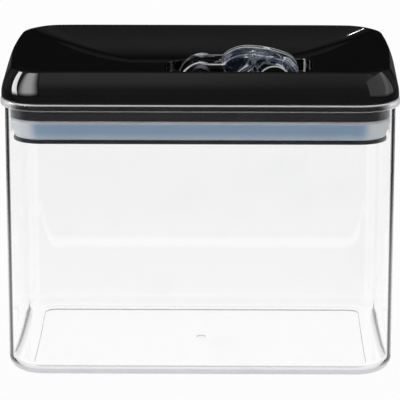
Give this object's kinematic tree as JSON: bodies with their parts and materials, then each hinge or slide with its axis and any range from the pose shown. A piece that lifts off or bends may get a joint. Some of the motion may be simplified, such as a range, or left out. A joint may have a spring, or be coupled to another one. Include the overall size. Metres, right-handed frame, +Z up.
{
  "type": "pantry container",
  "caption": "Rectangular clear food canister with a dished black lid whose flip lever works a cam that squeezes a silicone gasket against the wall.",
  "frame": {"origin": "on the table, under the middle of the container's base", "axes": "+X along the width, towards the lever's tip; +Y to the back; +Z up"},
  "size_m": [0.232, 0.15, 0.183],
  "materials": {
    "clear_plastic": "clear moulded, polished",
    "clear_lever": "clear moulded, polished",
    "black_gloss": "high gloss black",
    "black_plastic": "satin black",
    "silicone": "milky translucent silicone",
    "black_rubber": "matte black",
    "steel": "bright drawn"
  },
  "bodies": {
    "container": {"container_body": "clear_plastic"},
    "lid": {"lid_cover": "black_gloss", "plug_frame": "black_plastic", "rod_o_ring": "black_rubber", "gland_ring": "black_plastic", "cover_screws": "steel", "seal_gasket": "silicone", "return_spring": "steel"},
    "plate": {"pressure_plate": "black_plastic", "pull_rod": "black_plastic", "sealing_washer": "black_rubber", "plate_screw": "steel", "screw_cap": "black_plastic"},
    "lever": {"lever": "clear_lever", "pivot_pin": "steel"}
  },
  "joints": [
    {"name": "lid_lift", "type": "slide", "parent": "container", "child": "lid", "axis": [0, 0, 1], "range_m": [0, 0.15]},
    {"name": "plate_drop", "type": "slide", "parent": "lid", "child": "plate", "axis": [0, 0, -1], "range_m": [0, 0.0025], "deforming": ["seal_gasket", "return_spring"]},
    {"name": "lever_flip", "type": "hinge", "parent": "plate", "child": "lever", "pos_m": [0, 0, 0.166], "axis": [0, -1, 0], "range_deg": [0, 90]}
  ],
  "couplings": [
    {"joint": "lever_flip", "follows": "plate_drop", "rad_per_m": 628.32}
  ]
}
